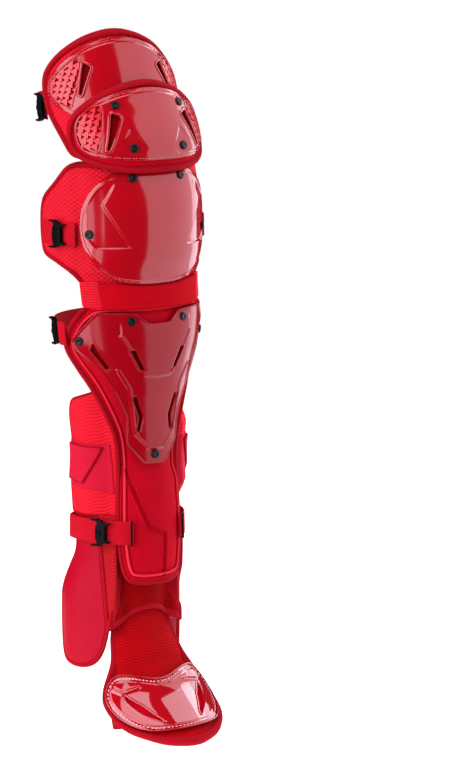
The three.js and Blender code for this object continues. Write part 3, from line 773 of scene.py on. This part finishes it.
# Band below the knee. A bare strip of smooth cloth that joins the knee and shin, with a small ribbed
# knit gusset at each end that lets the guard bend there.
KNIT_RED = (0.72, 0.0030, 0.016)
band_cloth = plain_cloth("band_cloth", (0.46, 0.0003, 0.006), 0.6, 0.9, 0.05, 0.05)
ribbed_knit = cloth("ribbed_knit", KNIT_RED, (5.0, 2.7), "rib", dark=0.45, bump=0.0007)
band_edge = outline(KNEE, [
    (0, 129, 10), (17, 129.5, 8), (33, 132.5, 8), (46.6, 134, 3), (42.6, 105.5, 3), (18, 104.8, 6),
    (0, 104.8, 10),
], half=True)


def band_relief(x, y):
    """A shallow welt along the band's upper and lower edges."""
    return 0.35 * ramp(110, 107, y) - 0.5 * ramp(1.2, 0, np.abs(y - 110.5))


band = wrapped(
    "knee_band_cloth", KNEE, band_edge, padded_rows(1.6, 26, 0.1), (-3.7, -0.3, -0.1), (0, 118),
    relief=band_relief,
)
dress(band, "pad_red", [band_cloth, band_cloth], "knee_band")
for name, side in SIDES:
    edge = outline(KNEE, [(46.2, 135, 2), (63, 134, 3), (60, 108, 3), (42.4, 105, 2)], side=side, count=120)
    rows = padded_rows(1.4, 14, 0.1)
    gusset = wrapped(f"gusset_knit_{name}", KNEE, edge, rows, (-4.9, -2.4, -2.2), (side * 51, 120))
    dress(gusset, "knit_red", [ribbed_knit, ribbed_knit], f"gusset_{name}")

# Shin liner. A long moulded foam pad under a brushed cover, bound with a dark roll. A ridge is
# pressed up all round inside the roll, and a raised field below the plate has a channel beside it.
SHIN = upright(
    64,
    (-285, 59, 64, -59),
    (-200, 59, 64, -59),
    (-130, 59, 64, -59),
    (-90, 58, 61, -56),
    (-50, 58, 58.5, -53),
    (0, 66, 61, -55.5),
    (40, 74, 66, -61),
    (70, 82, 68, -63.5),
    (116, 86, 66, -62),
)


def shin_flat(u, s):
    """Level of the liner's front, which thickens below the plate and thins under the band."""
    return mix(PAD_TOP, -1.2, ramp(-62, -80, s)) - 1.2 * ramp(94, 104, s)


def shin_lip(u, s):
    """Level of the liner's bound edge."""
    return mix(-0.6, BELOW_BAND, ramp(64, 56, np.abs(u)) * ramp(60, 85, s))


SHIN_CHANNEL = [(-33, -66), (-10, -126), (9, -135), (7, -177)]
shin_channel = flatly(SHIN, SHIN_CHANNEL)
shin_field = flatly(SHIN, [(-37, -60), *SHIN_CHANNEL, (-35, -177)])


def shin_relief(x, y):
    """A channel between two pressed ridges, and a raised field beyond it."""
    off = near_line(shin_channel, x, y)
    channel = 1.0 * ramp(1.5, 0.2, np.abs(off - 3.9)) - 2.2 * ramp(3.0, 1.6, off)
    return 0.7 * ramp(-1, 3, depth_in(shin_field, x, y)) + channel


shin_edge = outline(SHIN, [
    (0, 115.5, 10), (50, 115.5, 16), (66, 104, 14), (82, 80), (86.5, 62), (76, 40), (63.5, 21), (49, -15),
    (43.5, -34), (44, -75), (46, -118), (43, -162), (36, -184), (19, -188), (0, -188),
], half=True, count=420)
# The ridge's crest rows take finish 2, a lighter cloth that is a painted highlight.
SHIN_RIDGE = [
    (8.2, -0.8, 0), (9.0, -1.2, 0), (9.6, -1.0, 2), (10.0, 0.2, 2), (10.4, 1.1, 2), (10.9, 1.6, 2),
    (11.4, 1.7, 2), (11.9, 1.4, 2), (12.4, 0.6, 0), (13.0, -0.8, 0), (13.7, -1.4, 0), (14.5, -1.2, 0),
    (15.3, -0.4, 0), (16.0, 0, 0),
]
shin_liner = wrapped(
    "shin_liner", SHIN, shin_edge, padded_rows(6.5, 66, ridge=SHIN_RIDGE),
    (PAD_BACK, shin_lip, shin_flat), (0, -60), relief=shin_relief,
)
brushed_cloth = plain_cloth("brushed_cloth", (0.45, 0.0003, 0.010), 0.9, 0.85, 0.07, 0.06)
# Painted highlight: the brushed cloth in a lighter colour, for the ridge's crest.
ridge_highlight_cloth = plain_cloth("ridge_highlight_cloth", (0.72, 0.016, 0.036), 0.9, 0.85, 0.07, 0.3)
dress(shin_liner, "pad_red", [brushed_cloth, binding_tape, ridge_highlight_cloth], "shin_pad")

# Shin plate. The hard plate from the band to mid shin, its rim raised, with a raised V and a lower
# plate stepped over it, and three slots on each side.
SHIN_SLOTS = [
    [(53, 71), (55.5, 63), (44.5, 43), (41.5, 45)],
    [(20, 63), (24, 63), (16.5, 42), (13.5, 42)],
    [(20, 14), (23, 12), (17, -9), (19.5, -23), (17, -24), (13.5, -9)],
]
SHIN_V = [(30, 78), (12.6, 36), (0, 34.5), (-12.6, 36), (-30, 78)]
LIP_HIGH, STEP_HIGH = 1.1, 1.5
SHIN_LOW_PLATE = [(35, 42), (26, 22), (22, -26), (10, -42), (-10, -42), (-22, -26), (-26, 22), (-35, 42)]
shin_cap_edge = outline(SHIN, [
    (0, 90.5, 4), (9, 90.5, 3), (18, 102, 3), (48, 103.5, 4), (73.5, 71.5, 3), (70, 63, 3), (49, 41, 6),
    (39, 19, 8), (33, 1.5, 8), (29.5, -8, 3), (31, -37, 3), (13.5, -59, 3), (0, -59, 6),
], half=True, count=460)
shin_v = flatly(SHIN, SHIN_V)
shin_low_line = flatly(SHIN, SHIN_LOW_PLATE)
shin_v_field = flatly(SHIN, [(30, 104), *SHIN_V, (-30, 104)])
shin_low_field = flatly(SHIN, [(20, 50), *SHIN_LOW_PLATE, (-20, 50)])


def plate_relief(x, y):
    """The raised V and lower plate, each with a crisp lip along its line."""
    v = STEP_HIGH * ramp(-0.9, 0.9, depth_in(shin_v_field, x, y)) * ramp(98, 84, y)
    low = STEP_HIGH * ramp(-1, 1, depth_in(shin_low_field, x, y)) * ramp(30, 12, y)
    lips = sum(LIP_HIGH * ramp(2.8, 0.9, near_line(line, x, y)) for line in (shin_v, shin_low_line))
    return v + low + lips


plate_gloss = moulded("plate_gloss", (0.31, 0.0004, 0.006), 0.16, 0, 0.33)
cap(
    "shin", SHIN, shin_cap_edge, cap_rows(1.6, -0.9, 90), 35, plate_gloss, "shin_shell",
    relief=plate_relief, slots=SHIN_SLOTS,
)
SLOT_LIPS = (0.25, 1.1, 1.3)
for k, (slot, lip) in enumerate(zip(SHIN_SLOTS, SLOT_LIPS), 1):
    for name, side in SIDES:
        piece = vent(f"shin_slot_{k}_{name}", SHIN, slot, side, lip=lip, wide=2.6, round_off=0.8)
        dress(piece, "shell_red", [plate_gloss, window_shade])

# Rivets. Flat-topped black metal rivets with a shallow dimple hold the caps to their liners, a pair
# at each place but the lowest.
# Name, form, angle, station and level.
RIVETS = [
    ("upper_top", UPPER, 27, 314.5, -0.1),
    ("upper_low", UPPER, 20.5, 272, -0.9),
    ("knee_top", KNEE, 20, 241, 0),
    ("knee_side", KNEE, 54.5, 184, -0.3),
    ("shin_top", SHIN, 22, 93.5, 0.2),
    ("shin_side", SHIN, 64.5, 72.5, 0),
    ("shin_low", SHIN, 0, -49, 0.2),
]
RIVET_PROFILE = [
    (0, 1.5), (1.3, 1.55), (2.0, 1.95), (3.2, 2.05), (4.1, 1.75), (4.6, 1.1), (4.65, 0.3), (4.6, -0.6),
]
rivet_black = finish(
    "rivet_black", (0.004, 0.0045, 0.005), 0.38, lambda made: noise(made, 900, 2), 0.0001, None, 0.3, 0.22,
)


def revolve(name, profile, grip, segments=40):
    """A profile of radius and height in mm, spun round a frame's Z."""
    bm = bmesh.new()
    for radius, height in profile:
        bm.verts.new((radius * MM, 0, height * MM))
    bm.verts.ensure_lookup_table()
    for k in range(len(profile) - 1):
        bm.edges.new((bm.verts[k], bm.verts[k + 1]))
    bmesh.ops.spin(
        bm, geom=bm.verts[:] + bm.edges[:], cent=(0, 0, 0), axis=(0, 0, 1), angle=2 * math.pi,
        steps=segments, use_merge=True,
    )
    bmesh.ops.remove_doubles(bm, verts=bm.verts, dist=1e-6)
    bmesh.ops.holes_fill(bm, edges=[edge for edge in bm.edges if edge.is_boundary])
    bmesh.ops.recalc_face_normals(bm, faces=bm.faces)
    bmesh.ops.transform(bm, verts=bm.verts, matrix=grip)
    return mesh_of(name, bm)


for label, form, u, s, level in RIVETS:
    for name, side in SIDES if u else ((None, 1),):
        suffix = f"{label}_{name}" if name else label
        spot = np.array([side * math.radians(u) * form[1], s])
        piece = revolve(f"stud_{suffix}", RIVET_PROFILE, seat(form, spot, level))
        dress(piece, "rivet_black", [rivet_black], f"rivet_{suffix}")

# Calf wings. Stretch knit wings with fine ribs that wrap the calf, each with a smooth panel across
# it and a bare four-sided patch.
KNIT_THICK = 3
INNER_BULGE = 10.5


def calf_level(u, s):
    """The knit tucks under the liner; on the inner side it bulges out behind it."""
    bulge = ramp(50, 58, u) * ramp(100, 76, u) * ramp(-2, -30, s) * ramp(-114, -88, s)
    return mix(-9, 0, ramp(52, 84, np.abs(u))) + INNER_BULGE * bulge


def dropped(level, *drops):
    """Layers that lie below a level by each drop."""
    return [lambda u, s, drop=drop: level(u, s) - drop for drop in drops]


fine_knit = cloth("fine_knit", KNIT_RED, (9, 3.7), "rib", dark=0.74, bump=0.0008, slant=0.2)
patch_cloth = plain_cloth("patch_cloth", (0.52, 0.0008, 0.022), 0.6, 0.92, 0.05, 0.2)
for name, side in SIDES:
    edge = outline(SHIN, [
        (59, 19.5, 5), (90, 8, 8), (100, -12), (102, -36), (109, -62), (111, -84, 10), (106, -100),
        (102, -116, 5), (44.4, -116, 3), (42.6, -75), (42.1, -33), (47.6, -15),
    ], side=side)
    layers = dropped(calf_level, KNIT_THICK, 0, 0.3)
    wing = wrapped(f"calf_knit_{name}", SHIN, edge, padded_rows(3.0, 34, 0.3), layers, (side * 76, -48))
    dress(wing, "knit_red", [fine_knit, binding_tape], f"calf_wing_{name}")
    edge = outline(SHIN, [
        (102.5, -37, 2), (50, -39, 2), (47, -92, 2), (70, -88, 20), (107.5, -86, 2),
    ], side=side, count=200)
    layers = dropped(calf_level, 1, -0.6, -0.7)
    panel = wrapped(f"calf_panel_{name}", SHIN, edge, padded_rows(1.2, 24, 0.1), layers, (side * 78, -62))
    dress(panel, "knit_red", [patch_cloth, patch_cloth])
    edge = outline(SHIN, [
        (101.5, -40, 2), (58, -42, 1), (81, -82, 1), (107, -80, 2),
    ], side=side, count=160)
    layers = dropped(calf_level, -0.9, -3.2, -3.3)
    patch = wrapped(f"patch_{name}", SHIN, edge, padded_rows(1.6, 20, 0.35), layers, (side * 86, -60))
    dress(patch, "pad_red", [patch_cloth, binding_tape], f"calf_patch_{name}")

# Ankle. Ribbed strips run down from the knit, smooth coated flaps hang outside them with a dark
# bound edge, and a bound arch of mesh spans the instep between them.
flap_coated = finish(
    "flap_coated", (0.38, 0.0004, 0.014), 0.5, lambda made: noise(made, 800, 2), 0.0001,
    lambda made, relief: calc(made, "MULTIPLY_ADD", noise(made, 20, 3), 0.2, 0.9), 0.2, 0.08,
)
arch_mesh = cloth(
    "arch_mesh", (0.28, 0.0001, 0.001), (3.2, 3.2), dark=0.7, mottle=0.08, shine=0.05, bump=0.0003,
)
dark_knit = cloth("dark_knit", (0.44, 0.0004, 0.006), (9, 3.4), "rib", dark=0.62, bump=0.0008, slant=0.5)
FLAP_FLARE, INNER_LEAN = 12, 4
ARCH_LEVEL, ARCH_RISE, ARCH_CORNER = -17.8, 11.8, 3.6


def flare(u, s):
    """The flaps spread towards their lower ends, and the inner one leans out at its top."""
    lean = ramp(54, 62, u) * ramp(100, 78, u) * ramp(-200, -176, s)
    return -3 + FLAP_FLARE * ramp(-150, -205, s) * ramp(58, 104, np.abs(u)) + INNER_LEAN * lean


def arch_level(u, s):
    """The mesh lies deep over the instep and comes up to the strips at its sides."""
    rise = np.maximum(ramp(34, 46, np.abs(u)) * ramp(-192, -216, s), ramp(41, 47.5, np.abs(u)))
    return ARCH_LEVEL + ARCH_RISE * rise + ARCH_CORNER * ramp(48, 51, np.abs(u))


for name, side in SIDES:
    edge = outline(SHIN, [
        (44.6, -113, 2), (65.2, -114, 2), (60.6, -150, 20), (54, -231, 4), (46.8, -231, 1), (46, -205, 8),
        (44.5, -180, 8),
    ], side=side)
    rows = padded_rows(1.6, 16, 0.1)
    strip = wrapped(f"strip_knit_{name}", SHIN, edge, rows, (-7.5, -4.4, -4.1), (side * 53.5, -170))
    dress(strip, "knit_red", [dark_knit, dark_knit], f"ankle_strip_{name}")
    edge = outline(SHIN, [
        (64.5, -116, 2), (101, -116, 4), (99.5, -152, 30), (109, -176, 20), (113, -210), (113, -248),
        (108, -272), (92, -280), (76, -279), (65, -271), (58, -257), (53.2, -238), (53.3, -228),
        (59.8, -150),
    ], side=side)
    layers = dropped(flare, 4, 0, 0.5)
    flap = wrapped(f"flap_{name}", SHIN, edge, padded_rows(5, 36, 1.0), layers, (side * 84, -210))
    dress(flap, "flap_red", [flap_coated, binding_tape], f"ankle_flap_{name}")
arch_edge = outline(SHIN, [
    (0, -126, 10), (46, -126, 10), (47.6, -180, 20), (48.6, -212, 6), (57, -231, 3), (56, -239, 3),
    (45, -233, 8), (33, -225), (17.5, -218.5), (0, -217),
], half=True)
layers = dropped(arch_level, 3, -1.6, 0)
arch = wrapped("ankle_arch", SHIN, arch_edge, padded_rows(7, 26, 0.6), layers, (0, -182))
dress(arch, "pad_red", [arch_mesh, binding_tape], "ankle_panel")

# Foot. A wavy mesh tongue that spreads over the foot between dark bound edges, and the glossiest
# cap at its toe, sewn on with thread that shows, with two long vents.
# Columns: station, half width, half depth, front y, height and forward tilt in degrees.
FOOT = (np.array([
    (0, 40, 36, -32.5, -205, 3),
    (36, 50, 36, -43, -241, 10),
    (70, 60, 34, -58.5, -271.5, 32),
    (96, 70, 38, -75, -291.5, 44),
    (126, 74, 42, -100, -309.5, 54),
    (160, 68, 40, -128, -327, 58),
    (182, 64, 38, -146, -338.5, 58),
]), 62)
FOOT_TURN = -4
wavy_mesh = cloth(
    "wavy_mesh", (0.41, 0.0001, 0.003), (4.4, 2.8), "rib", dark=0.66, mottle=0.08, shine=0.06, bump=0.0005,
)
foot_edge = outline(FOOT, [
    (0, 2, 10), (44, 2, 6), (54, 36), (54, 56), (61, 66), (72, 77), (75, 89), (67, 108), (54, 135), (39, 157),
    (25, 169), (0, 178),
], half=True, count=360)


def tongue_level(u, s):
    """Level of the tongue, which drops where the toe cap covers it."""
    return mix(-1.6, PAD_TOP, ramp(56, 69, s))


tongue = wrapped(
    "foot_liner", FOOT, foot_edge, padded_rows(10.5, 44), (-11, -0.4, tongue_level), (0, 110), FOOT_TURN,
)
dress(tongue, "pad_red", [wavy_mesh, binding_tape], "foot_pad")

TOE_VENT = [(40, 95), (40.5, 100), (31, 122), (18, 141), (20, 133), (28, 112)]
TOE_TAB = [(9, 84), (9, 93), (6, 95), (-6, 95), (-9, 93), (-9, 84)]
toe_cap_edge = outline(FOOT, [
    (0, 87, 8), (8, 86, 6), (23, 79, 8), (40, 73.5), (52, 73), (62, 80), (65, 91), (53, 116), (39, 140),
    (25, 151), (0, 156),
], half=True, count=360)
toe_tab = flatly(FOOT, TOE_TAB)
toe_creases = [flatly(FOOT, [(52, 84), (42, 92), (24, 92)], side) for _, side in SIDES]


def toe_relief(x, y):
    """A tab pressed in at the top, and a long soft crease above each vent."""
    creases = sum(ramp(3.4, 0.3, near_line(crease, x, y)) for crease in toe_creases)
    return -0.9 * ramp(0, 1.2, depth_in(toe_tab, x, y)) + 0.8 * creases


toe_gloss = moulded("toe_gloss", SHELL_RED, 0.06, 0.8)
cap(
    "toe", FOOT, toe_cap_edge, cap_rows(6.2, 0.5, 56), 115, toe_gloss, "toe_shell", FOOT_TURN,
    toe_relief, [TOE_VENT],
)
toe_stitches = stitches(
    "toe_stitches", FOOT, toe_cap_edge, 3.4, -0.3, FOOT_TURN, pitch=4.0, long=2.9, wide=1.3,
)
thread_white = thread("thread_white", (0.86, 0.52, 0.54))
dress(toe_stitches, "shell_red", [thread_white])
toe_rim = wrapped("toe_rim", FOOT, toe_cap_edge, bead_rows(0.9, 0.1), turn=FOOT_TURN)
dress(toe_rim, "shell_red", [toe_gloss])
for name, side in SIDES:
    piece = vent(f"toe_vent_{name}", FOOT, TOE_VENT, side, FOOT_TURN, lip=0.6, wide=2.4, round_off=1.2)
    dress(piece, "shell_red", [toe_gloss, smooth_cloth])

# Straps. Nylon webbing loops that close round the back of the leg, with short tabs that hold the
# clips' other halves, and a loop under the foot.
WEB_HALF, WEB_THICK = 12.5, 2
WEB_CELL = (2.2, 1.5)
WEB_SECTION = [
    (-0.97, 0.2), (-1, 0.5), (-0.97, 0.8), (-0.9, 1), (-0.45, 1), (0, 1), (0.45, 1), (0.9, 1), (0.97, 0.8),
    (1, 0.5), (0.97, 0.2), (0.9, 0), (0.45, 0), (0, 0), (-0.45, 0), (-0.9, 0),
]
# Piece, node, form, start and end angle, station, level, slack, and the angle where slack begins.
STRAPS = [
    ("thigh", "thigh_strap", THIGH, 66, 264, 308, -0.3, 7, 84),
    ("knee", "knee_strap", KNEE, 64.5, 276, 183, 0.2, 0, 84),
    ("knee_short", "knee_tab", KNEE, -76, -65, 183, 0.2, 0, 84),
    ("calf", "calf_strap", SHIN, 76, 283, 79, -0.2, 8, 84),
    ("lower", "lower_strap", SHIN, 31, 298, -130, 0.6, 9, 102),
    ("lower_short", "lower_tab", SHIN, -54, -27, -130, 0.6, 0, 84),
]
SLACK_TURN = 13
FOOT_LOOP = Vector((0, AXIS_Y - 60, -322.4))
FOOT_LOOP_SIZE, FOOT_LOOP_SLOPE = 50, math.radians(16)
webbing = cloth("webbing", (0.50, 0.0005, 0.011), WEB_CELL, dark=0.7, mottle=0.08, shine=0.12)
shaded_webbing = cloth("shaded_webbing", (0.30, 0.0002, 0.004), WEB_CELL, dark=0.7, mottle=0.08, shine=0.05)


def strap(name, lay, start, end, steps):
    """A closed band of webbing whose section is laid along from start to end."""
    sides, last = len(WEB_SECTION), steps + 2
    bm = bmesh.new()
    bmesh.ops.create_grid(bm, x_segments=sides, y_segments=last, size=1)
    cut = bm.loops.layers.uv.new("cut")
    places = {}
    for vert in bm.verts:
        i = round((vert.co.x + 1) / 2 * sides)
        j = round((vert.co.y + 1) / 2 * last)
        edge, rise = WEB_SECTION[i % sides]
        if j in (0, last):
            edge, rise = 0, 0.5
        angle = mix(start, end, min(max(j - 1, 0), steps) / steps)
        places[vert.index] = (edge * WEB_HALF * MM, j * 0.004)
        vert.co = Vector(lay(angle, edge * WEB_HALF, rise * WEB_THICK)) * MM
    for face in bm.faces:
        for loop in face.loops:
            loop[cut].uv = places[loop.vert.index]
    bmesh.ops.remove_doubles(bm, verts=bm.verts, dist=1e-6)
    bmesh.ops.recalc_face_normals(bm, faces=bm.faces)
    return mesh_of(name, bm)


def round_form(form, s, level, slack, start):
    """Lays webbing round a form at a station, drawn in behind the guard where it hangs slack."""

    def lay(angle, edge, rise):
        x = np.array([math.radians(angle) * form[1]])
        drawn = slack * ramp(start, start + SLACK_TURN, min(angle, 360 - angle))
        return wrap(form, x, np.array([s + edge]), np.array([level + rise - drawn]))[0] / MM

    return lay


def round_foot(angle, edge, rise):
    """Lays webbing in the loop under the foot."""
    a = math.radians(angle)
    behind = Vector((0, math.cos(FOOT_LOOP_SLOPE), -math.sin(FOOT_LOOP_SLOPE)))
    across = Vector((0, math.sin(FOOT_LOOP_SLOPE), math.cos(FOOT_LOOP_SLOPE)))
    reach = FOOT_LOOP_SIZE + rise
    return FOOT_LOOP + Vector((reach * math.sin(a), 0, 0)) + behind * reach * math.cos(a) + across * edge


for name, node, form, start, end, s, level, slack, hangs in STRAPS:
    steps = max(6, round((end - start) / 3))
    piece = strap(f"webbing_{name}", round_form(form, s, level, slack, hangs), start, end, steps)
    dress(piece, "web_red", [webbing], node)
piece = strap("webbing_foot", round_foot, 90, -90, 60)
dress(piece, "web_red", [shaded_webbing], "foot_strap")

# Clips and bars. Black nylon hook clips join each strap on the outer side: a waisted body with a
# boss, whose long arms hold the strap's loop and whose short hooks catch the other half. Plain
# bars hold the lower tabs to the liner.
CLIP_OUTSIDE = [(-10.5, 14.4), (-3, 14.6), (1.5, 13.2), (4.2, 10.4), (10.6, 11), (11, 9.2), (6, 7.6)]
CLIP_INSIDE = [(-5.2, 6), (-3.2, 10.6), (-5, 12.4), (-10.5, 12.6)]
CLIP_LOWER = [[(x, -y) for x, y in reversed(line)] for line in (CLIP_OUTSIDE, CLIP_INSIDE)]
CLIP_SHAPE = CLIP_OUTSIDE + [(6, 0)] + CLIP_LOWER[0] + CLIP_LOWER[1] + CLIP_INSIDE
BAR_SHAPE = [(-1, 13.4), (1, 13.4), (1, -13.4), (-1, -13.4)]
CLIP_RISE, BAR_RISE = (0.2, 4.8), (0.1, 2.4)
CLIP_BOSS = [(0, 4.6), (1.2, 4.6), (1.5, 5.7), (3.0, 5.7), (3.5, 5.2), (3.6, 4.2)]
BOSS_SHIFT = -1.6
# Node, form, angle, station, level and shape.
FITTINGS = [
    ("thigh_clip", THIGH, -98, 308, -4.6, CLIP_SHAPE),
    ("knee_clip", KNEE, -80, 183, 2.9, CLIP_SHAPE),
    ("calf_clip", SHIN, -98, 79, -6.1, CLIP_SHAPE),
    ("lower_clip", SHIN, -58, -130, 3.2, CLIP_SHAPE),
    ("lower_bar_outer", SHIN, -29, -130, 3, BAR_SHAPE),
    ("lower_bar_inner", SHIN, 34, -130, 3, BAR_SHAPE),
]
EDGE_ROUND = 0.55
nylon_black = finish(
    "nylon_black", (0.003, 0.003, 0.0035), 0.42, lambda made: noise(made, 1100, 2), 0.0001, None, 0.35, 0.05,
)


def fitting(name, grip, shape, rise):
    """A flat shape in mm drawn out into nylon with rounded edges, in a frame of across, up and out."""
    bm = bmesh.new()
    low = [bm.verts.new((x * MM, y * MM, rise[0] * MM)) for x, y in shape]
    base = bm.faces.new(low)
    drawn = bmesh.ops.extrude_face_region(bm, geom=[base])["geom"]
    top = [item for item in drawn if isinstance(item, bmesh.types.BMVert)]
    bmesh.ops.translate(bm, verts=top, vec=(0, 0, (rise[1] - rise[0]) * MM))
    bmesh.ops.recalc_face_normals(bm, faces=bm.faces)
    bmesh.ops.bevel(
        bm, geom=bm.edges[:], offset=EDGE_ROUND * MM, offset_type="OFFSET", segments=3, profile=0.5,
        affect="EDGES", material=-1, clamp_overlap=True,
    )
    bmesh.ops.triangulate(bm, faces=[face for face in bm.faces if len(face.verts) > 4])
    bmesh.ops.transform(bm, verts=bm.verts, matrix=grip)
    return mesh_of(name, bm)


for node, form, u, s, level, shape in FITTINGS:
    grip = seat(form, np.array([math.radians(u) * form[1], s]), level)
    rise = CLIP_RISE if shape is CLIP_SHAPE else BAR_RISE
    dress(fitting(f"{node}_nylon", grip, shape, rise), "clip_black", [nylon_black], node)
    if shape is CLIP_SHAPE:
        boss_grip = grip @ Matrix.Translation((BOSS_SHIFT * MM, 0, 0))
        dress(revolve(f"{node}_boss", CLIP_BOSS, boss_grip), "clip_black", [nylon_black])

bpy.context.view_layer.update()
